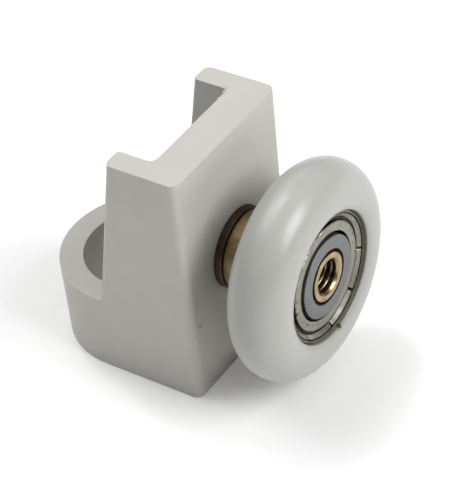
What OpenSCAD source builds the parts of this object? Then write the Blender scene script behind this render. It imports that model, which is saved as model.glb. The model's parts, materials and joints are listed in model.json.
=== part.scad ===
// Sliding door roller. A moulded bracket has an upright channel, open behind, and a
// round boss with a post bore at its foot. A crowned plastic tyre runs on a shielded
// ball bearing in front, on a brass bush that a screw holds from inside the channel.
// The origin is where the post bore's axis meets the foot. +Z runs up the post bore,
// and the wheel is on the -Y side.

/* [Bracket] */
// Width across the two side faces
bracket_w = 19.5; // [18.5:0.5:22]
// Height of the bracket
bracket_h = 30; // [29:0.5:36]
// Distance from the post bore's axis to the front face
bracket_front = 13.1; // [12.6:0.1:15]
// Thickness of the front web
web_t = 4.2; // [4:0.1:4.4]
// Depth of the round seat sunk in the web's inner face, for the screw's head
seat_depth = 2.2; // [2.2:0.1:2.6]
// Thickness of each side flange
flange_t = 2.65; // [2:0.05:3]
// Height of the boss and of the channel's floor
boss_h = 9.8; // [6:0.1:10.5]
// Diameter of the post bore
post_bore_d = 14; // [10:0.5:14]
// Distance from the post bore's axis to the flanges' back edges, just above the boss
flange_back_low = 0.5; // [0:0.1:2]
// Distance from the post bore's axis to the flanges' back edges, at the top
flange_back_top = 4.4; // [2.5:0.1:6]
// Radius of the two upright front edges
front_edge_r = 1; // [0.4:0.1:2]
// Radius of the flanges' outer back edges
back_edge_r = 0.9; // [0.4:0.1:1.2]
// Radius in the channel's two inner corners
channel_corner_r = 0.8; // [0.3:0.1:1.5]

/* [Wheel] */
// Diameter over the tread
wheel_d = 25; // [24:0.5:28]
// Radius of the tyre's round section
tyre_section_r = 3.5; // [3.3:0.1:3.6]
// Distance that the tyre's middle sits behind the bearing's, towards the bracket
tyre_offset = 0.3; // [0:0.05:0.5]
// Height of the axle above the foot
axle_z = 15; // [14.8:0.1:16]
// Distance from the bracket's front face to the bearing's middle plane
wheel_offset = 9; // [8.4:0.1:12]

/* [Bearing] */
// Bore of the inner ring
bearing_bore_d = 6; // [5.6:0.1:6]
// Outside diameter of the outer ring
bearing_d = 15; // [15:0.1:15.4]
// Width of both rings
bearing_w = 5; // [4.8:0.1:5.2]
// Outside diameter of the inner ring
inner_land_d = 9.5; // [9.3:0.05:9.7]
// Inside diameter of the outer ring
outer_land_d = 12.1; // [12:0.05:12.3]
// Diameter of the circle through the balls' centres
pitch_d = 10.84; // [10.8:0.02:10.9]
// Diameter of a ball
ball_d = 2.4; // [2.2:0.05:2.4]

/* [Axle] */
// Diameter of the spacer washer against the bracket
spacer_d = 9.5; // [9:0.5:11]
// Thickness of the spacer washer
spacer_t = 1; // [0.6:0.1:1.4]
// Diameter of the bush's collar
collar_d = 9.2; // [8.8:0.1:10]
// Width of the bush's collar
collar_w = 2.4; // [1.5:0.1:3]
// Diameter of the bush's shoulder, which the inner ring stands against
shoulder_d = 8.2; // [7.5:0.1:8.6]
// Thread size of the screw
screw_d = 4; // [3.5:0.1:4]
// Length of the screw under its head
screw_l = 10; // [8:0.5:11]

/* [Hidden] */
$fn = 96;

// Amount by which a cutting shape passes the face that it cuts
cut = 1;
// Clearance between two turned parts that don't touch
slip = 0.02;

// Bracket
boss_r = bracket_w / 2;
channel_w = bracket_w - 2 * flange_t;
flange_rise = bracket_h - boss_h;
flange_lean = atan((flange_back_top - flange_back_low) / flange_rise);

// Screw and washers, which lie in the web's seat, clear of the post bore
seat_d = 10;
seat_floor = seat_depth - web_t;
screw_clearance_d = screw_d + 0.5;
flat_washer_d = 9;
flat_washer_t = 0.8;
spring_washer_d = 7.2;
spring_washer_t = 0.9;
spring_washer_gap = 0.8;
spring_washer_slant = 20;
head_d = 8;
head_h = 2.4;
head_dome_r = 5;
head_seat = seat_floor - flat_washer_t - spring_washer_t;
recess_l = 4.4;
recess_w = 0.9;
recess_depth = 1.5;
tip_chamfer = 0.5;

// Bush. Its nose is thinner than the journal and stands a little proud of the inner ring.
nose_end = wheel_offset + bearing_w / 2 + 0.05;
nose_l = 0.6;
nose_d = bearing_bore_d - 0.36;
nose_chamfer = 0.08;
bush_thread_d = 3.5;
bush_mouth_d = 4.4;
collar_chamfer = 0.3;

// Bearing
ball_count = 7;
race_r = ball_d / 2 + 0.04;
ring_chamfer = 0.25;
shield_seat_d = 14.2;
shield_seat_depth = 0.8;
shield_hole_d = 10.2;
shield_flat_d = 12.6;
shield_flat_edge = 0.25;
shield_groove_d = 13;
shield_sheet = 0.25;
shield_setback = 0.22;
rim_setback = 0.08;
rim_edge = 0.1;
slit_count = 9;
slit_w = 0.3;
slit_phase = -90;
cage_inner_d = 10.1;
cage_outer_d = 11.6;
cage_sheet = 0.3;
pocket_r = ball_d / 2 + 0.05;
pocket_shell_r = 1.55;
rivet_d = 0.4;
rivet_head_d = 0.64;
rivet_head_t = 0.15;

// The axle's own frame: its z runs from the bracket's front face out to the wheel
module on_axle(along = 0) {
    translate([0, -bracket_front - along, axle_z]) rotate([90, 0, 0]) children();
}

// The bearing's own frame, with z = 0 at its middle
module on_wheel() {
    on_axle(wheel_offset) children();
}

// A flat ring standing on z = 0
module ring(outer_d, inner_d, t) {
    difference() {
        cylinder(d = outer_d, h = t);
        translate([0, 0, -cut]) cylinder(d = inner_d, h = t + 2 * cut);
    }
}

// Children repeated once for each ball, turned by part of a ball's spacing
module at_each_ball(step = 0) {
    for (i = [0 : ball_count - 1])
        rotate([0, 0, (i + step) * 360 / ball_count]) translate([pitch_d / 2, 0, 0]) children();
}

// Outline of the front block from above, with round front corners
module block_outline() {
    corner_x = bracket_w / 2 - front_edge_r;
    corner_y = -bracket_front + front_edge_r;
    difference() {
        translate([-bracket_w / 2, -bracket_front]) square([bracket_w, bracket_front]);
        for (side = [-1, 1]) difference() {
            translate([side * (corner_x + front_edge_r) - front_edge_r, corner_y - 2 * front_edge_r])
                square([2 * front_edge_r, 2 * front_edge_r]);
            translate([side * corner_x, corner_y]) circle(r = front_edge_r);
        }
    }
}

// Everything behind the flanges' leaning back edges, above the boss
module behind_flanges() {
    translate([0, -flange_back_low, boss_h]) rotate([flange_lean, 0, 0])
        translate([-bracket_w, 0, -cut / 10]) cube([2 * bracket_w, bracket_w, flange_rise + 5 * cut]);
}

// Cuts the flanges' outer back edges round
module back_edge_cutters() {
    for (side = [-1, 1])
        translate([side * bracket_w / 2, -flange_back_low, boss_h]) rotate([flange_lean, 0, 0])
            linear_extrude(flange_rise + 5 * cut) difference() {
                square(2 * back_edge_r, center = true);
                translate([-side * back_edge_r, -back_edge_r]) circle(r = back_edge_r);
            }
}

// Outline of the channel from above, with round corners against the web
module channel_outline() {
    corner_x = channel_w / 2 - channel_corner_r;
    corner_y = -bracket_front + web_t + channel_corner_r;
    translate([-channel_w / 2, corner_y]) square([channel_w, bracket_w]);
    translate([-corner_x, corner_y - channel_corner_r]) square([2 * corner_x, bracket_w]);
    for (side = [-1, 1]) translate([side * corner_x, corner_y]) circle(r = channel_corner_r);
}

module bracket() {
    color("whitesmoke") difference() {
        union() {
            cylinder(r = boss_r, h = boss_h);
            linear_extrude(boss_h) block_outline();
            difference() {
                linear_extrude(bracket_h) block_outline();
                behind_flanges();
                back_edge_cutters();
                translate([0, 0, boss_h]) linear_extrude(flange_rise + cut) channel_outline();
            }
        }
        translate([0, 0, -cut]) cylinder(d = post_bore_d, h = boss_h + 2 * cut);
        on_axle(-web_t - cut) cylinder(d = screw_clearance_d, h = web_t + 2 * cut);
        on_axle(-web_t - cut) cylinder(d = seat_d, h = seat_depth + cut);
    }
}

module spacer_washer() {
    color("#4a3c28") on_axle() ring(spacer_d, screw_clearance_d, spacer_t);
}

module axle_bush() {
    color("#b08d57") on_axle() rotate_extrude() polygon([
        [screw_d / 2, spacer_t],
        [collar_d / 2 - collar_chamfer, spacer_t],
        [collar_d / 2, spacer_t + collar_chamfer],
        [collar_d / 2, spacer_t + collar_w - collar_chamfer],
        [collar_d / 2 - collar_chamfer, spacer_t + collar_w],
        [shoulder_d / 2, spacer_t + collar_w],
        [shoulder_d / 2, wheel_offset - bearing_w / 2],
        [bearing_bore_d / 2, wheel_offset - bearing_w / 2],
        [bearing_bore_d / 2, nose_end - nose_l],
        [nose_d / 2, nose_end - nose_l],
        [nose_d / 2, nose_end - nose_chamfer],
        [nose_d / 2 - nose_chamfer, nose_end],
        [bush_mouth_d / 2, nose_end],
        [bush_thread_d / 2, nose_end - (bush_mouth_d - bush_thread_d) / 2],
        [bush_thread_d / 2, head_seat + screw_l + tip_chamfer],
        [screw_d / 2, head_seat + screw_l + tip_chamfer]
    ]);
}

module flat_washer() {
    color("silver") on_axle(seat_floor - flat_washer_t)
        ring(flat_washer_d, screw_clearance_d, flat_washer_t);
}

module spring_washer() {
    color("dimgray") on_axle(head_seat) difference() {
        ring(spring_washer_d, screw_clearance_d, spring_washer_t);
        rotate([spring_washer_slant, 0, 0])
            translate([screw_d / 2, -spring_washer_gap / 2, -2 * spring_washer_t])
                cube([spring_washer_d, spring_washer_gap, 5 * spring_washer_t]);
    }
}

module mounting_screw() {
    shank_r = screw_d / 2 - slip;
    color("gainsboro") on_axle(head_seat) difference() {
        union() {
            cylinder(r = shank_r, h = screw_l - tip_chamfer);
            translate([0, 0, screw_l - tip_chamfer])
                cylinder(r1 = shank_r, r2 = shank_r - tip_chamfer, h = tip_chamfer);
            rotate_extrude() intersection() {
                translate([0, -head_h]) square([head_d / 2, head_h]);
                translate([0, head_dome_r - head_h]) circle(r = head_dome_r);
            }
        }
        for (turn = [0, 90]) rotate([0, 0, turn])
            translate([-recess_l / 2, -recess_w / 2, -head_h - cut])
                cube([recess_l, recess_w, recess_depth + cut]);
    }
}

// Both chamfers on one side of a ring's section, at radius r
module ring_chamfers(r) {
    for (end = [-1, 1]) translate([r, end * bearing_w / 2])
        rotate(45) square(ring_chamfer * sqrt(2), center = true);
}

module bearing_inner_ring() {
    color("darkgray") on_wheel() rotate_extrude() difference() {
        translate([bearing_bore_d / 2, -bearing_w / 2])
            square([(inner_land_d - bearing_bore_d) / 2, bearing_w]);
        translate([pitch_d / 2, 0]) circle(r = race_r);
        ring_chamfers(bearing_bore_d / 2);
    }
}

module bearing_outer_ring() {
    color("gray") on_wheel() rotate_extrude() difference() {
        translate([outer_land_d / 2, -bearing_w / 2])
            square([(bearing_d - outer_land_d) / 2, bearing_w]);
        translate([pitch_d / 2, 0]) circle(r = race_r);
        for (end = [-1, 1]) translate([0, end * (bearing_w / 2 - shield_seat_depth / 2 + cut / 2)])
            square([shield_seat_d, shield_seat_depth + cut], center = true);
        ring_chamfers(bearing_d / 2);
    }
}

// Ball i of ball_count, counted from 1
module ball(i) {
    color("lightsteelblue") on_wheel() rotate([0, 0, (i - 1) * 360 / ball_count])
        translate([pitch_d / 2, 0, 0]) sphere(d = ball_d);
}

// One pressed half of the ribbon cage, on the z > 0 side of the balls
module cage_half() {
    difference() {
        intersection() {
            union() {
                cylinder(d = cage_outer_d + cut, h = cage_sheet);
                at_each_ball() sphere(r = pocket_shell_r);
            }
            ring(cage_outer_d, cage_inner_d, bearing_w / 2);
        }
        at_each_ball() sphere(r = pocket_r);
        at_each_ball(0.5) cylinder(d = rivet_d, h = 2 * cut, center = true);
    }
}

module cage_front() {
    color("khaki") on_wheel() cage_half();
}

module cage_back() {
    color("khaki") on_wheel() mirror([0, 0, 1]) cage_half();
}

module cage_rivets() {
    color("goldenrod") on_wheel() at_each_ball(0.5) {
        cylinder(d = rivet_d, h = 2 * cage_sheet, center = true);
        for (end = [-1, 1]) translate([0, 0, end * (cage_sheet + rivet_head_t / 2)])
            cylinder(d = rivet_head_d, h = rivet_head_t, center = true);
    }
}

// Pressed shield on the z > 0 side: a flat ring, a groove round it, and a rim that
// slopes up from the groove and that slits part into tabs
module shield() {
    face_z = bearing_w / 2 - shield_setback;
    rim_z = bearing_w / 2 - rim_setback;
    seat_z = bearing_w / 2 - shield_seat_depth;
    groove_z = seat_z + shield_sheet;
    difference() {
        rotate_extrude() polygon([
            [shield_hole_d / 2, face_z - shield_sheet],
            [shield_flat_d / 2 - shield_sheet, face_z - shield_sheet],
            [shield_flat_d / 2 - shield_sheet, seat_z],
            [shield_seat_d / 2, seat_z],
            [shield_seat_d / 2, rim_z - rim_edge],
            [shield_seat_d / 2 - rim_edge, rim_z],
            [shield_groove_d / 2, groove_z],
            [shield_flat_d / 2, groove_z],
            [shield_flat_d / 2, face_z - shield_flat_edge],
            [shield_flat_d / 2 - shield_flat_edge, face_z],
            [shield_hole_d / 2, face_z]
        ]);
        for (i = [0 : slit_count - 1])
            rotate([0, 0, slit_phase + i * 360 / slit_count])
                translate([(shield_flat_d + shield_groove_d) / 4, -slit_w / 2, groove_z])
                    cube([shield_seat_d / 2, slit_w, bearing_w]);
    }
}

module shield_front() {
    color("lightgoldenrodyellow") on_wheel() shield();
}

module shield_back() {
    color("lightgoldenrodyellow") on_wheel() mirror([0, 0, 1]) shield();
}

module tyre() {
    color("white") on_wheel() rotate_extrude() difference() {
        translate([wheel_d / 2 - tyre_section_r, -tyre_offset]) circle(r = tyre_section_r);
        square(bearing_d, center = true);
    }
}

bracket();
spacer_washer();
axle_bush();
flat_washer();
spring_washer();
mounting_screw();
bearing_inner_ring();
bearing_outer_ring();
ball(1);  // ball_1
ball(2);  // ball_2
ball(3);  // ball_3
ball(4);  // ball_4
ball(5);  // ball_5
ball(6);  // ball_6
ball(7);  // ball_7
cage_front();
cage_back();
cage_rivets();
shield_front();
shield_back();
tyre();
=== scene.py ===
"""Looks of the sliding door roller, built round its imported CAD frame.

The bracket, tyre, bearing rings, shields, bush, spacer and screw are rebuilt as finished
meshes, with their places and outer sizes read from the frame. The balls, cage, rivets
and the screw's washers stay as the CAD made them. Lengths in this file are in
millimetres until a mesh is made, and the axle's own frame has its z along the axle, from
the bracket's front face out to the wheel.
"""
import json
import math

import bmesh
import bpy
from mathutils import Matrix, Vector


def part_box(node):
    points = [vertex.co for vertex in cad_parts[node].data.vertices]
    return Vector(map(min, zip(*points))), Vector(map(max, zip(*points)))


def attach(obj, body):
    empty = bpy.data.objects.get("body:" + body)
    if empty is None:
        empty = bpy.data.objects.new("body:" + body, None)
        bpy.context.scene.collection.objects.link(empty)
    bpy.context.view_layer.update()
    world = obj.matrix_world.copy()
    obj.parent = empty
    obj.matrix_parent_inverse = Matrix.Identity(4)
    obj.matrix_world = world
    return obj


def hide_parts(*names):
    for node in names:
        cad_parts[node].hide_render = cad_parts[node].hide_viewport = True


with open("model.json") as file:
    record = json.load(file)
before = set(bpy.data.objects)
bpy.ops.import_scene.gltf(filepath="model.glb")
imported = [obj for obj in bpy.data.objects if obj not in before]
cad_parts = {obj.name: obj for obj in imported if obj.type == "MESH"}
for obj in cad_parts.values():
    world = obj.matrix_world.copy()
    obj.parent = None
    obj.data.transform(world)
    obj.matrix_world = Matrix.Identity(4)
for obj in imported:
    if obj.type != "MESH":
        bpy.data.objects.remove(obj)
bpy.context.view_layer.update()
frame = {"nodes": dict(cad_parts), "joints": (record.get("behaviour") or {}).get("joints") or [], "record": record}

MM = 0.001

# Sides of a turned piece, of the tyre, of a drilled hole and of the screw
SEGMENTS = 144
TYRE_SEGMENTS = 192
DRILL_SEGMENTS = 120
SCREW_SEGMENTS = 96


# ---------------------------------------------------------------- sizes from the frame

def node_box(node):
    """Lowest and highest corner of a CAD node, in mm."""
    low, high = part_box(node)
    return low / MM, high / MM


BRACKET_LOW, BRACKET_HIGH = node_box("bracket")
TYRE_LOW, TYRE_HIGH = node_box("tyre")
OUTER_LOW, OUTER_HIGH = node_box("bearing_outer_ring")
INNER_LOW, INNER_HIGH = node_box("bearing_inner_ring")
BUSH_LOW, BUSH_HIGH = node_box("axle_bush")
SPACER_LOW, SPACER_HIGH = node_box("spacer_washer")
SCREW_LOW, SCREW_HIGH = node_box("mounting_screw")

spin = next(j for j in frame["joints"] if j["name"] == "wheel_spin")
post_bore = next(m for m in frame["record"]["mounts"] if m["name"] == "post_bore")

FRONT_Y = BRACKET_LOW.y
AXLE_Z = spin["pos_m"][2] / MM
WHEEL_AT = FRONT_Y - spin["pos_m"][1] / MM
POST_BORE_R = post_bore["dims"]["r_mm"]
BOSS_H = post_bore["dims"]["length_mm"]

# The axle's own frame, in metres
AXLE_PLACE = Matrix.Translation((0, FRONT_Y * MM, AXLE_Z * MM))
AXLE_FRAME = AXLE_PLACE @ Matrix.Rotation(math.pi / 2, 4, "X")


# ---------------------------------------------------------------- sizes of details

# Bracket. Its front leans out by FRONT_LEAN at the top and in by as much at the foot. The
# flanges' backs run from FLANGE_BACK_LOW, level with the boss, to FLANGE_BACK_TOP.
FRONT_LEAN = 0.23
FRONT_EDGE_R = 1.0
FLANGE_T = 2.65
WEB_T = 4.2
FLANGE_BACK_LOW = -0.5
FLANGE_BACK_TOP = -4.4
FLANGE_EDGE_R = 0.9
FLANGE_INNER_R = 0.45
CHANNEL_R = 0.8
SCREW_SEAT_R = 5.0
SCREW_SEAT_DEPTH = 2.2
SCREW_HOLE_R = 2.25
EDGE_R = 0.22
BORE_TOP_EDGE_R = 0.09
SEAT_EDGE_R = 0.12
HOLE_EDGE_R = 0.05

# How far a cutter goes past what it cuts
OVERRUN = 1.0

# Bearing
INNER_BORE_R = 3.0
OUTER_LAND_R = 6.05
RING_EDGE_R = 0.25
RING_SEAT_EDGE_R = 0.14
INNER_BORE_EDGE_R = 0.22
INNER_EDGE_R = 0.1
FOLD_R = 0.03
SEAT_R = 7.1
SEAT_DEPTH = 0.8
SHIELD_HOLE_R = 5.1
SHIELD_FLAT_R = 6.3
SHIELD_GROOVE_R = 6.5
SHIELD_SHEET = 0.25
SHIELD_SETBACK = 0.22
RIM_SETBACK = 0.08
SLITS = 9
SLIT_W = 0.3
FIRST_SLIT = -90

# Tyre
TYRE_LIP = 0.12

# Bush
THREAD_PITCH = 0.7
THREAD_R = 1.75
THREAD_DEPTH = 0.28
THREAD_FADE = 0.25
THREAD_STEPS = 110
MOUTH_R = 2.2
NOSE_R = 2.82
NOSE_L = 0.6
COLLAR_W = 2.4
SHOULDER_R = 4.1

# Screw
SCREW_L = 10
HEAD_FLAT_R = 2.6
HEAD_CROWN = 1.3
SHANK_R = 1.52
SHANK_THREAD_DEPTH = 0.34
SHANK_FADE = 0.5
SHANK_STEPS = 120
RECESS_L = 4.0
RECESS_W = 0.84
RECESS_DEPTH = 1.4
RECESS_TURN = 20

# The screw's outline ends this far from its axis
NEAR_AXIS = 0.001


# ---------------------------------------------------------------- marks, dirt and painted light

# Near black: the colour of grease, and of painted shade in bores, in the shield's groove and in gaps
GREASE_AND_SHADE = (0.012, 0.010, 0.008)

# On the bracket's front face: a dent, a burr that is a row of balls, and a scuff
DENT_AT = (-2.8, FRONT_Y - 0.19, 27.6)
DENT_R = 1.6
DENT_DEPTH = 0.15
BURR_FROM = (-8.45, FRONT_Y + 0.11, 9.73)
BURR_STEP = (0.24, 0, 0.02)
BURR_RADII = (0.16, 0.20, 0.15)
SCUFF_AT = (-4.5, FRONT_Y, 20.5)

# Flash at the channel's far corner: the centre and radius of each crumb
FLASH_CRUMBS = (((7.25, -8.72, 29.93), 0.24), ((6.85, -8.86, 29.95), 0.17),
                ((6.4, -8.84, 29.96), 0.2), ((5.9, -8.9, 29.95), 0.13),
                ((5.3, -8.88, 29.96), 0.16))

# On the wheel's front, in the axle's own frame: the centre and size of each mark
WHEEL_FACE = WHEEL_AT + 2.8
GREASE_SPOTS = (((0.8, -7.6, WHEEL_FACE), 0.8), ((3.5, -8.3, WHEEL_FACE + 0.2), 0.35),
                ((-7.5, -2.2, WHEEL_FACE), 0.35))
WHITE_FLECKS = (((2.4, -8.1, WHEEL_FACE + 0.2), 0.28), ((2.0, -7.9, WHEEL_FACE + 0.2), 0.2),
                ((2.9, -8.2, WHEEL_FACE + 0.2), 0.2))

# On the front shield: x, y and size of each crumb, then where a glint and a reflection are painted
SHIELD_FACE = WHEEL_AT + 2.28
CRUMBS = ((-6.1, -0.65, 0.6), (-6.15, 0.2, 0.35), (-5.9, 0.9, 0.25), (-5.6, -1.6, 0.25),
          (-4.4, -3.4, 0.4), (-3.9, -3.9, 0.25), (-3.25, -4.4, 0.35), (-5.2, -2.4, 0.2),
          (5.6, 1.9, 0.3), (2.2, 5.9, 0.5), (-4.3, 4.2, 0.25))
GLINTS_AT = (-2.1, 5.8, SHIELD_FACE)
TAB_REFLECTION_AT = (1.2, -6.8, SHIELD_FACE)


# ---------------------------------------------------------------- stage

FLOOR_REACH = 1500
FLOOR_DROP = 0.05

# The floor glows faintly under the object, and more from one distance to another
GLOW_NEAR, GLOW_FAR = 120, 450
GLOW_FAINT, GLOW_FULL = 0.11, 0.9

LIGHT_SIZE = 260
LIGHT_DISTANCE = 500
LIGHT_TARGET = (0, -10, 15)
WORLD_LIGHT = 0.015

CAMERA_AZIMUTH = -52.45
CAMERA_ELEVATION = 39.58
CAMERA_ROLL = -7.03
CAMERA_DISTANCE = 227.8
CAMERA_TARGET = (-3.2, -14.0, 18.54)
CAMERA_LENS = 160.4
CAMERA_SENSOR = 36


# ---------------------------------------------------------------- mesh tools

def make_object(name, bm, place=Matrix.Identity(4)):
    """An object from a bmesh in mm, with its faces turned outwards and shaded smooth."""
    bmesh.ops.recalc_face_normals(bm, faces=bm.faces)
    bmesh.ops.scale(bm, vec=(MM, MM, MM), verts=bm.verts)
    mesh = bpy.data.meshes.new(name)
    bm.to_mesh(mesh)
    bm.free()
    mesh.shade_smooth()
    obj = bpy.data.objects.new(name, mesh)
    bpy.context.scene.collection.objects.link(obj)
    obj.matrix_world = place
    return obj


def apply_modifiers(obj):
    """Bakes an object's modifiers into its mesh."""
    bpy.context.view_layer.update()
    graph = bpy.context.evaluated_depsgraph_get()
    mesh = bpy.data.meshes.new_from_object(obj.evaluated_get(graph))
    obj.modifiers.clear()
    obj.data = mesh


def carve(obj, cutters, operation="DIFFERENCE"):
    """Cuts the cutters out of obj, or adds them, and removes them."""
    for cutter in cutters:
        step = obj.modifiers.new(cutter.name, "BOOLEAN")
        step.operation = operation
        step.solver = "EXACT"
        step.object = cutter
    apply_modifiers(obj)
    for cutter in cutters:
        bpy.data.objects.remove(cutter)


def round_edges(obj, width):
    """Rounds every edge that turns by more than 35 degrees."""
    bevel = obj.modifiers.new("edges", "BEVEL")
    bevel.width = width * MM
    bevel.segments = 3
    bevel.limit_method = "ANGLE"
    bevel.angle_limit = math.radians(35)
    apply_modifiers(obj)


def keep_flats_flat(obj):
    """Shades the flat faces flat and only the rounded edges smooth."""
    normals = obj.modifiers.new("normals", "WEIGHTED_NORMAL")
    normals.keep_sharp = True
    normals.weight = 80


def arc(cx, cy, radius, start, end, steps):
    """Points on an arc, angles in degrees, both ends included."""
    return [(cx + radius * math.cos(math.radians(start + (end - start) * i / steps)),
             cy + radius * math.sin(math.radians(start + (end - start) * i / steps)))
            for i in range(steps + 1)]


def rounded(corners, steps=5):
    """A closed outline from (x, y, radius) corners, each rounded to its radius."""
    points = []
    for i, (x, y, radius) in enumerate(corners):
        here = Vector((x, y))
        if radius <= 0:
            points.append((x, y))
            continue
        before = (Vector(corners[i - 1][:2]) - here).normalized()
        after = (Vector(corners[(i + 1) % len(corners)][:2]) - here).normalized()
        half = before.angle(after) / 2
        reach = radius / math.tan(half)
        start = here + before * reach
        end = here + after * reach
        centre = here + (before + after).normalized() * radius / math.sin(half)
        spread = math.pi - 2 * half
        side = 1 if (start - centre).cross(end - centre) > 0 else -1
        for k in range(steps + 1):
            turned = (start - centre).copy()
            turned.rotate(Matrix.Rotation(side * spread * k / steps, 2))
            points.append(tuple(centre + turned))
    return points


def lathe(name, profile, segments=SEGMENTS, radius_at=None, place=AXLE_FRAME):
    """Turns a closed (radius, along) profile about place's z.

    radius_at, where given, says the radius of each point at each angle.
    """
    bm = bmesh.new()
    rows = []
    for k in range(segments):
        angle = 2 * math.pi * k / segments
        row = []
        for i, (radius, along) in enumerate(profile):
            r = radius_at(i, radius, along, angle) if radius_at else radius
            row.append(bm.verts.new((r * math.cos(angle), r * math.sin(angle), along)))
        rows.append(row)
    for k in range(segments):
        a, b = rows[k], rows[(k + 1) % segments]
        for i in range(len(profile)):
            j = (i + 1) % len(profile)
            bm.faces.new((a[i], a[j], b[j], b[i]))
    bmesh.ops.remove_doubles(bm, verts=bm.verts, dist=1e-4)
    return make_object(name, bm, place)


def loft(name, low, high, z_low, z_high, place=Matrix.Identity(4)):
    """A closed solid between two outlines with the same number of points."""
    bm = bmesh.new()
    bottom = [bm.verts.new((x, y, z_low)) for x, y in low]
    top = [bm.verts.new((x, y, z_high)) for x, y in high]
    bm.faces.new(bottom[::-1])
    bm.faces.new(top)
    for i in range(len(low)):
        j = (i + 1) % len(low)
        bm.faces.new((bottom[i], bottom[j], top[j], top[i]))
    return make_object(name, bm, place)


def drill(name, radius, low, high, ease, place=Matrix.Identity(4), ease_high=None):
    """A cutter for a round hole from low to high, which also rounds its rims.

    ease is the rounding of the low rim, and ease_high that of the high one. Without
    ease_high the hole is blind, and high is its floor.
    """
    profile = [(0, low - OVERRUN), (radius + ease, low - OVERRUN)]
    profile += arc(radius + ease, low + ease, ease, 270, 180, 5)
    if ease_high is None:
        profile += [(radius, high), (0, high)]
    else:
        profile += arc(radius + ease_high, high - ease_high, ease_high, 180, 90, 5)
        profile += [(radius + ease_high, high + OVERRUN), (0, high + OVERRUN)]
    return lathe(name, profile, DRILL_SEGMENTS, place=place)


def ball(name, centre, radius):
    """A small ball, which cuts a dent or stands as a crumb."""
    bm = bmesh.new()
    bmesh.ops.create_icosphere(bm, subdivisions=3, radius=radius)
    bmesh.ops.translate(bm, verts=bm.verts, vec=centre)
    return make_object(name, bm)


def block(name, low, high, place=Matrix.Identity(4)):
    """A plain box, used to cut slots."""
    outline = [(low[0], low[1]), (high[0], low[1]), (high[0], high[1]), (low[0], high[1])]
    return loft(name, outline, outline, low[2], high[2], place)


# ---------------------------------------------------------------- material tools

class Shader:
    """A material's node tree, with short calls for the nodes that are used here."""

    def __init__(self, name):
        self.material = bpy.data.materials.new(name)
        self.material.use_nodes = True
        self.tree = self.material.node_tree
        self.surface = self.tree.nodes["Principled BSDF"]
        self.coords = self.tree.nodes.new("ShaderNodeTexCoord").outputs["Object"]

    def set(self, **values):
        for key, value in values.items():
            self.surface.inputs[key.replace("_", " ")].default_value = value

    def feed(self, socket, source):
        self.tree.links.new(source, self.surface.inputs[socket])

    def node(self, kind, inputs=(), **settings):
        made = self.tree.nodes.new("ShaderNode" + kind)
        for key, value in settings.items():
            setattr(made, key, value)
        for key, value in dict(inputs).items():
            if isinstance(value, bpy.types.NodeSocket):
                self.tree.links.new(value, made.inputs[key])
            else:
                made.inputs[key].default_value = value
        return made

    def noise(self, size, detail, roughness=0.5, distortion=0.0):
        """Noise with features of about that size, in mm."""
        return self.node("TexNoise", {
            "Vector": self.coords, "Scale": 1 / (size * MM), "Detail": detail,
            "Roughness": roughness, "Distortion": distortion}).outputs["Fac"]

    def cloud(self, size, detail, low, high, weak, strong, roughness=0.5):
        """Patches of about that size, in mm: weak where the noise is low, strong where high."""
        return self.remap(self.noise(size, detail, roughness), low, high, weak, strong)

    def radius(self):
        """Distance from the piece's own z axis, in mm."""
        flat = self.node("VectorMath", {0: self.coords, 1: (1 / MM, 1 / MM, 0)},
                         operation="MULTIPLY").outputs["Vector"]
        return self.node("VectorMath", {0: flat}, operation="LENGTH").outputs["Value"]

    def band(self, value, low, high, soft):
        """1 where the value lies from low to high, fading to 0 over soft beyond each end."""
        rise = self.remap(value, low - soft, low, 0, 1)
        return self.times(rise, self.remap(value, high, high + soft, 1, 0))

    def spot(self, centre, size, soft=0.5):
        """1 at the middle of a ball, size wide in mm, fading out over soft of its radius."""
        away = self.node("VectorMath", {0: self.coords, 1: tuple(c * MM for c in centre)},
                         operation="DISTANCE").outputs["Value"]
        radius = size / 2 * MM
        return self.remap(away, radius * (1 - soft), radius, 1, 0)

    def rings(self, spacing):
        """Fine circles about the piece's z axis, spacing in mm."""
        return self.node("TexWave", {
            "Vector": self.coords, "Scale": 1 / (spacing * MM) / 20, "Distortion": 0.4,
            "Detail": 2.0, "Detail Scale": 3.0}, wave_type="RINGS", rings_direction="Z",
            wave_profile="SAW").outputs["Fac"]

    def specks(self, spacing, size, share):
        """Small round specks: spacing and size in mm, and the share of places that has one."""
        cells = self.node("TexVoronoi", {"Vector": self.coords, "Scale": 1 / (spacing * MM),
                                         "Randomness": 1.0})
        near = self.node("Math", {0: cells.outputs["Distance"], 1: size / spacing / 2},
                         operation="LESS_THAN").outputs[0]
        pick = self.node("SeparateColor", {"Color": cells.outputs["Color"]}).outputs["Red"]
        chosen = self.node("Math", {0: pick, 1: share}, operation="LESS_THAN").outputs[0]
        return self.node("Math", {0: near, 1: chosen}, operation="MULTIPLY").outputs[0]

    def remap(self, value, low, high, to_low, to_high):
        return self.node("MapRange", {"Value": value, "From Min": low, "From Max": high,
                                      "To Min": to_low, "To Max": to_high}).outputs["Result"]

    def mix(self, factor, first, second):
        """Colour between first and second, each a socket or an (r, g, b)."""
        made = self.node("Mix", data_type="RGBA")
        for index, value in ((0, factor), (6, first), (7, second)):
            if isinstance(value, bpy.types.NodeSocket):
                self.tree.links.new(value, made.inputs[index])
            else:
                made.inputs[index].default_value = value if index == 0 else (*value, 1)
        return made.outputs[2]

    def times(self, first, second):
        return self.node("Math", {0: first, 1: second}, operation="MULTIPLY").outputs[0]

    def bump(self, height, depth, normal=None):
        """Relief of that depth in mm."""
        inputs = {"Height": height, "Distance": depth * MM, "Strength": 1.0}
        if normal:
            inputs["Normal"] = normal
        return self.node("Bump", inputs).outputs["Normal"]


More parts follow.
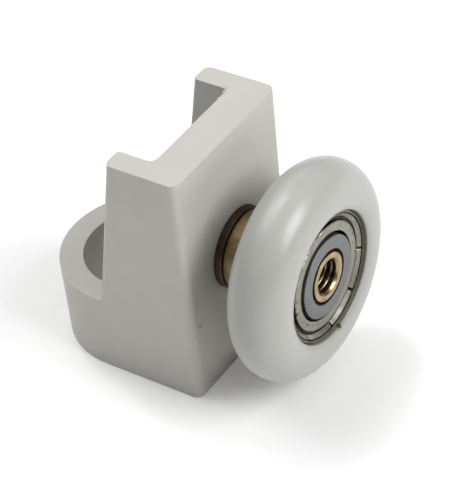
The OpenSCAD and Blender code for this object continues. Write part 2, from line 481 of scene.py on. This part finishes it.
def bracket_plastic():
    """Off-white moulded plastic, satin, faintly mottled, with specks of dirt and a scuff."""
    s = Shader("bracket_plastic")
    mottle = s.cloud(6, 4, 0.3, 0.7, 0, 1)
    base = s.mix(mottle, (0.492, 0.480, 0.437), (0.516, 0.504, 0.459))
    dirt = s.times(s.cloud(1.2, 6, 0.64, 0.80, 0, 0.25, 0.7), s.cloud(9, 2, 0.5, 0.7, 0, 1))
    base = s.mix(dirt, base, (0.36, 0.33, 0.28))
    base = s.mix(s.times(s.specks(2.2, 0.2, 0.25), 0.55), base, (0.22, 0.19, 0.15))
    scuff = s.times(s.spot(SCUFF_AT, 3.2), s.cloud(0.5, 5, 0.45, 0.6, 0, 0.45, 0.7))
    base = s.mix(scuff, base, (0.33, 0.31, 0.27))
    s.feed("Base Color", base)
    s.feed("Roughness", s.cloud(2.5, 5, 0.3, 0.7, 0.40, 0.54, 0.6))
    s.set(Subsurface_Weight=0.2, Subsurface_Radius=(1.0, 0.85, 0.7),
          Subsurface_Scale=0.5 * MM, IOR=1.5)
    s.feed("Normal", s.bump(s.noise(4, 2), 0.02, s.bump(s.noise(0.18, 3), 0.004)))
    return s.material


def tyre_nylon():
    """Glossy white nylon, dark and smeared by the bearing, with painted shade round it, grease spots and pale
    flecks.
    """
    s = Shader("tyre_nylon")
    cloudy = s.cloud(9, 2, 0.3, 0.7, 0, 1)
    base = s.mix(cloudy, (0.395, 0.395, 0.372), (0.412, 0.412, 0.389))
    wall = s.band(s.radius(), 0, OUTER_HIGH.x + 0.04, 0.05)
    wall_dirt = s.times(wall, s.cloud(0.7, 4, 0.3, 0.6, 0.75, 0.97, 0.6))
    base = s.mix(wall_dirt, base, (0.13, 0.12, 0.09))
    # Painted shade: a soft dark ring on the tyre next to the bearing, fading out 0.9 mm beyond it, made patchy by
    # noise
    bearing_shade = s.times(s.band(s.radius(), 0, 7.6, 0.9), s.cloud(3, 2, 0.3, 0.7, 0.12, 0.4))
    base = s.mix(bearing_shade, base, (0.25, 0.235, 0.20))
    smear = s.times(s.cloud(0.8, 5, 0.46, 0.66, 0, 0.55, 0.7), s.band(s.radius(), 0, 7.62, 0.4))
    base = s.mix(smear, base, (0.20, 0.185, 0.15))
    for place, size in GREASE_SPOTS:
        base = s.mix(s.times(s.spot(place, size), 0.9), base, GREASE_AND_SHADE)
    for place, size in WHITE_FLECKS:
        base = s.mix(s.spot(place, size, 0.4), base, (0.85, 0.85, 0.80))
    base = s.mix(s.times(s.specks(3.0, 0.13, 0.05), 0.35), base, (0.25, 0.22, 0.18))
    s.feed("Base Color", base)
    s.feed("Roughness", s.cloud(6, 2, 0.3, 0.7, 0.29, 0.32))
    s.set(IOR=1.5)
    s.feed("Normal", s.bump(s.noise(5.0, 1), 0.004))
    return s.material


def turned_metal(name, bright, dull, roughness, ring_depth, tarnish=0.5, shade_and_grease=()):
    """Metal with fine turning rings and patches of tarnish.

    The last argument holds (lowest radius, highest radius, strength) bands painted near black: painted shade in
    bores, and painted shade with grease in gaps.
    """
    s = Shader(name)
    patches = s.cloud(1.1, 5, 0.5 - tarnish / 4, 0.75, 0, 1, 0.65)
    base = s.mix(patches, bright, dull)
    rough = s.cloud(0.5, 5, 0.3, 0.7, roughness, roughness + 0.18, 0.7)
    # Bands painted near black and made patchy by noise: painted shade, with grease in some gaps
    for low, high, strength in shade_and_grease:
        dark = s.times(s.band(s.radius(), low, high, 0.05),
                       s.cloud(0.4, 4, 0.2, 0.5, strength / 2, strength, 0.6))
        base = s.mix(dark, base, GREASE_AND_SHADE)
        rough = s.node("Math", {0: rough, 1: s.times(dark, 0.3)}, operation="ADD").outputs[0]
    s.feed("Base Color", base)
    s.feed("Roughness", rough)
    s.set(Metallic=1.0)
    s.feed("Normal", s.bump(s.noise(0.15, 4, 0.7), 0.003, s.bump(s.rings(0.09), ring_depth)))
    return s.material


def pressed_shield():
    """Pressed steel under a thin cream film of grease, with dark crumbs, a painted glint, a painted reflection,
    and painted shade black in its groove and at its rim's edge.
    """
    s = Shader("shield_steel")
    film = s.remap(s.noise(0.9, 6, 0.7, distortion=0.6), 0.35, 0.7, 0, 1)
    base = s.mix(film, (0.282, 0.280, 0.232), (0.21, 0.207, 0.163))
    stains = s.times(s.cloud(0.45, 6, 0.58, 0.68, 0, 0.75, 0.75),
                     s.cloud(3.0, 2, 0.45, 0.6, 0.15, 1))
    base = s.mix(stains, base, (0.12, 0.11, 0.08))
    base = s.mix(s.times(s.specks(0.6, 0.2, 0.2), 0.85), base, (0.05, 0.045, 0.035))
    for x, y, size in CRUMBS:
        base = s.mix(s.times(s.spot((x, y, SHIELD_FACE), size), 0.92), base, GREASE_AND_SHADE)
    # Painted highlight: glints painted pale along the flat's rounded edge, at the upper left
    edge = s.times(s.band(s.radius(), SHIELD_FLAT_R - 0.22, SHIELD_FLAT_R, 0.03),
                   s.spot(GLINTS_AT, 5.5, 0.4))
    painted_glints = s.times(edge, s.cloud(0.5, 3, 0.5, 0.6, 0, 1, 0.6))
    # Painted reflection: one rim tab between two slits is painted paler
    tab_reflection = s.times(s.band(s.radius(), SHIELD_GROOVE_R, SEAT_R, 0.03),
                  s.spot(TAB_REFLECTION_AT, 2.8, 0.4))
    base = s.mix(painted_glints, base, (0.95, 0.94, 0.86))
    base = s.mix(s.times(tab_reflection, 0.32), base, (0.85, 0.84, 0.77))
    # Painted shade: the groove is painted near black and made fully metallic, which keeps it dark
    groove = s.band(s.radius(), SHIELD_FLAT_R - 0.08, SHIELD_GROOVE_R + 0.1, 0.05)
    # Painted shade: the rim's outer edge, in the gap by the outer ring, is painted near black
    rim_edge = s.band(s.radius(), SEAT_R - 0.06, SEAT_R + 1, 0.04)
    base = s.mix(s.times(groove, 0.99), base, GREASE_AND_SHADE)
    base = s.mix(s.times(rim_edge, 0.9), base, GREASE_AND_SHADE)
    s.feed("Base Color", base)
    s.feed("Metallic", s.remap(groove, 0, 1, 0.7, 1.0))
    s.feed("Roughness", s.remap(film, 0, 1, 0.28, 0.50))
    s.feed("Normal", s.bump(s.noise(0.35, 5, 0.7), 0.012))
    return s.material


def make_materials():
    """One material for each slot of the record."""
    return {
        "bracket_plastic": bracket_plastic(),
        "tyre_nylon": tyre_nylon(),
        # Brass: its threaded bore is painted near black, as painted shade
        "brass": turned_metal(
            "brass", bright=(0.46, 0.345, 0.21), dull=(0.26, 0.185, 0.10),
            roughness=0.24, ring_depth=0.004, shade_and_grease=[(0, THREAD_R + 0.16, 0.98)]),
        # Dark brass, for the spacer: brass painted far darker than the bush, as painted shade
        "dark_brass": turned_metal(
            "dark_brass", bright=(0.115, 0.085, 0.055), dull=(0.06, 0.045, 0.03),
            roughness=0.40, ring_depth=0.004),
        # Ground steel: its bore and the chamfer round it are painted near black, as painted shade
        "ground_steel": turned_metal(
            "ground_steel", bright=(0.212, 0.212, 0.214), dull=(0.19, 0.19, 0.193),
            roughness=0.40, ring_depth=0.0006, tarnish=0.2,
            shade_and_grease=[(0, INNER_BORE_R + 0.2, 0.98)]),
        # Grimy steel: the bands at its shield seats and at its edge by the tyre are painted shade with grease
        "grimy_steel": turned_metal(
            "grimy_steel", bright=(0.34, 0.32, 0.26), dull=(0.16, 0.15, 0.12),
            roughness=0.5, ring_depth=0.003, tarnish=0.8,
            shade_and_grease=[(0, SEAT_R + 0.07, 0.95), (OUTER_HIGH.x - 0.05, OUTER_HIGH.x + 1, 0.8)]),
        "shield_steel": pressed_shield(),
        "zinc_steel": turned_metal(
            "zinc_steel", bright=(0.66, 0.67, 0.69), dull=(0.50, 0.50, 0.50),
            roughness=0.28, ring_depth=0.002),
        "dark_steel": turned_metal(
            "dark_steel", bright=(0.26, 0.26, 0.27), dull=(0.16, 0.155, 0.15),
            roughness=0.36, ring_depth=0.002),
        "polished_steel": turned_metal(
            "polished_steel", bright=(0.72, 0.73, 0.75), dull=(0.60, 0.60, 0.60),
            roughness=0.10, ring_depth=0.0005, tarnish=0.1),
        "cage_steel": turned_metal(
            "cage_steel", bright=(0.50, 0.48, 0.44), dull=(0.30, 0.28, 0.25),
            roughness=0.38, ring_depth=0.002),
    }


def dress(obj, slot, body, node):
    """Gives a piece its material and its body, and hides the CAD node it stands for."""
    obj.data.materials.clear()
    obj.data.materials.append(materials[slot])
    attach(obj, body)
    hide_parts(node)


# ---------------------------------------------------------------- bracket

def bracket_plan(lean):
    """The bracket from above: a round back, and a front with two round corners."""
    half = BRACKET_HIGH.x
    front = FRONT_Y + lean
    r = FRONT_EDGE_R
    return (arc(0, 0, half, 0, 180, 72)
            + arc(-half + r, front + r, r, 180, 270, 8)
            + arc(half - r, front + r, r, 270, 360, 8))


def void_plan(back):
    """What is open above the boss, from above: the channel, and all behind the flanges."""
    half = BRACKET_HIGH.x
    inner = half - FLANGE_T
    web = FRONT_Y + WEB_T
    far = 3 * half
    edge = FLANGE_EDGE_R
    right = ([(far, back - edge)] + arc(half - edge, back - edge, edge, 0, 90, 6)
             + arc(inner + FLANGE_INNER_R, back - FLANGE_INNER_R, FLANGE_INNER_R, 90, 180, 4)
             + arc(inner - CHANNEL_R, web + CHANNEL_R, CHANNEL_R, 0, -90, 6))
    left = [(-x, y) for x, y in reversed(right)]
    return right + left + [(-far, far), (far, far)]


def build_bracket():
    """The moulding, cut from a solid block, with its bores, dent, crumbs and burr."""
    top = BRACKET_HIGH.z
    rise = top - BOSS_H
    above = (FLANGE_BACK_TOP - FLANGE_BACK_LOW) * (rise + OVERRUN) / rise + FLANGE_BACK_LOW
    body = loft("bracket_moulding", bracket_plan(FRONT_LEAN), bracket_plan(-FRONT_LEAN), 0, top)
    carve(body, [loft("void", void_plan(FLANGE_BACK_LOW), void_plan(above), BOSS_H, top + OVERRUN)])
    round_edges(body, EDGE_R)
    seat_floor = SCREW_SEAT_DEPTH - WEB_T
    carve(body, [drill("bore", POST_BORE_R, 0, BOSS_H, EDGE_R, ease_high=BORE_TOP_EDGE_R)])
    carve(body, [drill("seat", SCREW_SEAT_R, -WEB_T, seat_floor, SEAT_EDGE_R, AXLE_FRAME)])
    carve(body, [drill("screw_hole", SCREW_HOLE_R, seat_floor, FRONT_LEAN, HOLE_EDGE_R,
                       AXLE_FRAME, HOLE_EDGE_R)])
    dent = Vector(DENT_AT) - Vector((0, DENT_R - DENT_DEPTH, 0))
    carve(body, [ball("dent", dent, DENT_R)])
    crumbs = [ball("crumb", centre, radius) for centre, radius in FLASH_CRUMBS]
    burr = [ball("crumb", Vector(BURR_FROM) + i * Vector(BURR_STEP), radius)
            for i, radius in enumerate(BURR_RADII)]
    carve(body, crumbs + burr, "UNION")
    keep_flats_flat(body)
    dress(body, "bracket_plastic", "carrier", "bracket")


# ---------------------------------------------------------------- wheel

def build_tyre():
    """A ring with a full round section, and a small lip at each side of the bearing."""
    section_r = (TYRE_HIGH.y - TYRE_LOW.y) / 2
    middle = TYRE_HIGH.x - section_r
    centre = FRONT_Y - (TYRE_HIGH.y + TYRE_LOW.y) / 2
    bore = OUTER_HIGH.x
    reach = math.degrees(math.acos((middle - bore) / section_r))
    lip = section_r * math.sin(math.radians(reach))
    crown = arc(middle, centre, section_r, reach - 180, 180 - reach, 96)
    back = (bore, centre - lip + TYRE_LIP)
    front = (bore, centre + lip - TYRE_LIP)
    tyre = lathe("tyre_ring", [back] + crown[1:-1] + [front], TYRE_SEGMENTS)
    keep_flats_flat(tyre)
    dress(tyre, "tyre_nylon", "wheel", "tyre")


# ---------------------------------------------------------------- bearing

def build_rings():
    """The bearing's two rings. The outer one has a seat for a shield at each side."""
    half_w = (INNER_HIGH.y - INNER_LOW.y) / 2
    low, high = WHEEL_AT - half_w, WHEEL_AT + half_w
    inner = lathe("inner_ring", rounded([
        (INNER_BORE_R, low, INNER_BORE_EDGE_R), (INNER_HIGH.x, low, INNER_EDGE_R),
        (INNER_HIGH.x, high, INNER_EDGE_R), (INNER_BORE_R, high, INNER_BORE_EDGE_R)], 4))
    keep_flats_flat(inner)
    dress(inner, "ground_steel", "carrier", "bearing_inner_ring")
    seat_low, seat_high = low + SEAT_DEPTH, high - SEAT_DEPTH
    outer = lathe("outer_ring", rounded([
        (OUTER_LAND_R, seat_low, 0.05), (SEAT_R, seat_low, FOLD_R),
        (SEAT_R, low, RING_SEAT_EDGE_R), (OUTER_HIGH.x, low, RING_EDGE_R),
        (OUTER_HIGH.x, high, RING_EDGE_R), (SEAT_R, high, RING_SEAT_EDGE_R),
        (SEAT_R, seat_high, FOLD_R), (OUTER_LAND_R, seat_high, 0.05)], 4))
    keep_flats_flat(outer)
    dress(outer, "grimy_steel", "wheel", "bearing_outer_ring")


def build_shield(name, node, side):
    """A shield with a raised flat ring, a groove and a rim cut by slits.

    side is 1 for the front shield and -1 for the back one.
    """
    half_w = (OUTER_HIGH.y - OUTER_LOW.y) / 2
    face = half_w - SHIELD_SETBACK
    rim = half_w - RIM_SETBACK
    seat = half_w - SEAT_DEPTH
    groove = seat + SHIELD_SHEET
    under_face = face - SHIELD_SHEET
    inner_wall = SHIELD_FLAT_R - SHIELD_SHEET
    corners = [
        (SHIELD_HOLE_R, under_face, 0.05), (inner_wall, under_face, FOLD_R),
        (inner_wall, seat, FOLD_R), (SEAT_R, seat, FOLD_R), (SEAT_R, rim - 0.05, FOLD_R),
        (SEAT_R - 0.07, rim, 0.04), (SHIELD_GROOVE_R, groove, FOLD_R),
        (SHIELD_FLAT_R, groove, FOLD_R), (SHIELD_FLAT_R, face, 0.28),
        (SHIELD_HOLE_R, face, 0.08)]
    profile = [(r, WHEEL_AT + side * a) for r, a in rounded(corners, 5)]
    shield = lathe(name, profile)
    low, high = sorted((side * groove, side * (rim + OVERRUN)))
    slit_start = (SHIELD_FLAT_R + SHIELD_GROOVE_R) / 2
    slits = []
    for i in range(SLITS):
        turn = Matrix.Rotation(math.radians(FIRST_SLIT + 360 * i / SLITS), 4, "Z")
        slits.append(block("slit", (slit_start, -SLIT_W / 2, WHEEL_AT + low),
                           (SEAT_R + OVERRUN, SLIT_W / 2, WHEEL_AT + high), AXLE_FRAME @ turn))
    carve(shield, slits)
    keep_flats_flat(shield)
    dress(shield, "shield_steel", "wheel", node)


# ---------------------------------------------------------------- bush, spacer and screw

def thread_radius(along, angle, smallest, depth):
    """Radius of a V thread, flat at top and bottom, at a place along the axle and round it."""
    phase = (along / THREAD_PITCH - angle / (2 * math.pi)) % 1.0
    flank = 1.25 * (1 - abs(2 * phase - 1)) - 0.1
    return smallest + depth * min(1.0, max(0.0, flank))


def build_bush():
    """Collar, shoulder and nose, with a threaded bore that opens at the front."""
    start = SPACER_HIGH.y - SPACER_LOW.y
    end = FRONT_Y - BUSH_LOW.y
    ring_back = WHEEL_AT - (INNER_HIGH.y - INNER_LOW.y) / 2
    collar_r = BUSH_HIGH.x
    collar_end = start + COLLAR_W
    mouth = end - MOUTH_R + THREAD_R
    outside = rounded([
        (THREAD_R, start, 0), (collar_r, start, 0.25), (collar_r, collar_end, 0.3),
        (SHOULDER_R, collar_end, 0.15), (SHOULDER_R, ring_back, 0.1),
        (INNER_BORE_R, ring_back, 0.05), (INNER_BORE_R, end - NOSE_L, 0.05),
        (NOSE_R, end - NOSE_L, 0.03), (NOSE_R, end, 0.07), (MOUTH_R, end, 0.06),
        (THREAD_R, mouth, 0)], 4)
    bore = [(THREAD_R, mouth + (start - mouth) * i / THREAD_STEPS)
            for i in range(1, THREAD_STEPS)]
    first = len(outside)

    def radius_at(i, radius, along, angle):
        if i < first:
            return radius
        fade = min(1.0, (mouth - along) / THREAD_FADE)
        return thread_radius(along, angle, THREAD_R, THREAD_DEPTH * max(0.0, fade))

    bush = lathe("bush", outside + bore, SEGMENTS, radius_at)
    keep_flats_flat(bush)
    dress(bush, "brass", "carrier", "axle_bush")


def build_spacer():
    """The ring between the bush's collar and the bracket."""
    low, high = 0.0, SPACER_HIGH.y - SPACER_LOW.y
    spacer = lathe("spacer", rounded([
        (SCREW_HOLE_R, low, 0.05), (SPACER_HIGH.x, low, 0.08),
        (SPACER_HIGH.x, high, 0.12), (SCREW_HOLE_R, high, 0.05)], 4))
    keep_flats_flat(spacer)
    dress(spacer, "dark_brass", "carrier", "spacer_washer")


def build_screw():
    """Low pan head with a cross recess, and a threaded shank."""
    head_top = FRONT_Y - SCREW_HIGH.y
    tip = FRONT_Y - SCREW_LOW.y
    seat = tip - SCREW_L
    head_r = SCREW_HIGH.x
    head = rounded([
        (0, seat, 0), (head_r, seat, 0.15), (head_r, head_top + HEAD_CROWN, 0.5),
        (HEAD_FLAT_R, head_top, 2.0), (0, head_top, 0)], 6)
    profile = [(NEAR_AXIS, seat - 0.01)] + head[1:-1] + [(NEAR_AXIS, head_top)]
    screw = lathe("screw", profile, SCREW_SEGMENTS)
    recess = [block("recess", (-RECESS_L / 2, -RECESS_W / 2, head_top - OVERRUN),
                    (RECESS_L / 2, RECESS_W / 2, head_top + RECESS_DEPTH),
                    AXLE_FRAME @ Matrix.Rotation(math.radians(RECESS_TURN + turn), 4, "Z"))
              for turn in (0, 90)]
    carve(screw, recess)
    start = seat - 0.05
    profile = [(NEAR_AXIS, start)]
    profile += [(SHANK_R, start + (tip - seat) * i / SHANK_STEPS)
                for i in range(SHANK_STEPS + 1)]
    profile += [(NEAR_AXIS, tip)]

    def radius_at(i, radius, along, angle):
        if radius == NEAR_AXIS:
            return radius
        fade = min(1.0, max(0.0, (tip - along) / SHANK_FADE))
        return thread_radius(along, angle, SHANK_R, SHANK_THREAD_DEPTH * fade)

    shank = lathe("screw_shank", profile, SCREW_SEGMENTS, radius_at)
    for piece in (screw, shank):
        keep_flats_flat(piece)
        dress(piece, "zinc_steel", "carrier", "mounting_screw")


def dress_cad_nodes():
    """Gives every CAD node its finished material, which shows on those that aren't rebuilt."""
    slots = {p["node"]: p["material_slot"] for p in frame["record"]["subparts"]}
    for node, obj in frame["nodes"].items():
        obj.data.materials.clear()
        obj.data.materials.append(materials[slots[node]])


# ---------------------------------------------------------------- stage, light and camera

def build_floor():
    """A wide pale floor, which glows towards the distance so that low views stay pale."""
    bm = bmesh.new()
    bmesh.ops.create_grid(bm, x_segments=2, y_segments=2, size=FLOOR_REACH)
    bmesh.ops.translate(bm, verts=bm.verts, vec=(0, 0, -FLOOR_DROP))
    floor = make_object("floor", bm)
    s = Shader("floor_white")
    s.feed("Base Color", s.mix(s.noise(80, 2), (0.88, 0.88, 0.88), (0.90, 0.90, 0.90)))
    s.feed("Emission Strength", s.remap(s.radius(), GLOW_NEAR, GLOW_FAR, GLOW_FAINT, GLOW_FULL))
    s.set(Roughness=0.9, Emission_Color=(1, 1, 1, 1), Specular_IOR_Level=0.1)
    floor.data.materials.append(s.material)


def softbox(name, azimuth, elevation, power, size=LIGHT_SIZE):
    """A square softbox that looks back at the object. Azimuth 0 is in front of the wheel."""
    az, el = math.radians(azimuth), math.radians(elevation)
    aim = Vector((math.sin(az) * math.cos(el), -math.cos(az) * math.cos(el), math.sin(el)))
    data = bpy.data.lights.new(name, "AREA")
    data.shape = "SQUARE"
    data.size = size * MM
    data.energy = power
    light = bpy.data.objects.new(name, data)
    bpy.context.scene.collection.objects.link(light)
    light.location = (Vector(LIGHT_TARGET) + aim * LIGHT_DISTANCE) * MM
    light.rotation_euler = aim.to_track_quat("Z", "Y").to_euler()


def build_lights():
    """Soft light from the back, above, the front and the right, and a small glint."""
    softbox("back_high", 180, 62, 1.35, size=340)
    softbox("top", 0, 75, 0.95, size=600)
    softbox("front", 5, 38, 1.85)
    softbox("right_back", 130, 40, 0.25)
    softbox("glint", 148, 70, 0.2, size=36)
    world = bpy.data.worlds.new("studio")
    bpy.context.scene.world = world
    world.use_nodes = True
    background = world.node_tree.nodes["Background"]
    background.inputs["Color"].default_value = (1, 1, 1, 1)
    background.inputs["Strength"].default_value = WORLD_LIGHT


def build_camera():
    """The camera at the photo's angle, turned a little about its own line of sight."""
    az, el, roll = (math.radians(v) for v in (CAMERA_AZIMUTH, CAMERA_ELEVATION, CAMERA_ROLL))
    back = Vector((math.sin(az) * math.cos(el), -math.cos(az) * math.cos(el), math.sin(el)))
    right = Vector((0, 0, 1)).cross(back).normalized()
    up = back.cross(right)
    tilted_right = right * math.cos(roll) + up * math.sin(roll)
    tilted_up = up * math.cos(roll) - right * math.sin(roll)
    data = bpy.data.cameras.new("camera")
    data.lens = CAMERA_LENS
    data.sensor_width = CAMERA_SENSOR
    data.clip_start = 0.01
    camera = bpy.data.objects.new("camera", data)
    bpy.context.scene.collection.objects.link(camera)
    turn = Matrix((tilted_right, tilted_up, back)).transposed().to_4x4()
    place = Matrix.Translation((Vector(CAMERA_TARGET) + back * CAMERA_DISTANCE) * MM)
    camera.matrix_world = place @ turn
    bpy.context.scene.camera = camera


materials = make_materials()
dress_cad_nodes()
build_bracket()
build_tyre()
build_rings()
build_shield("shield_outside", "shield_front", 1)
build_shield("shield_inside", "shield_back", -1)
build_bush()
build_spacer()
build_screw()
build_floor()
build_lights()
build_camera()
bpy.context.scene.view_settings.view_transform = "Standard"
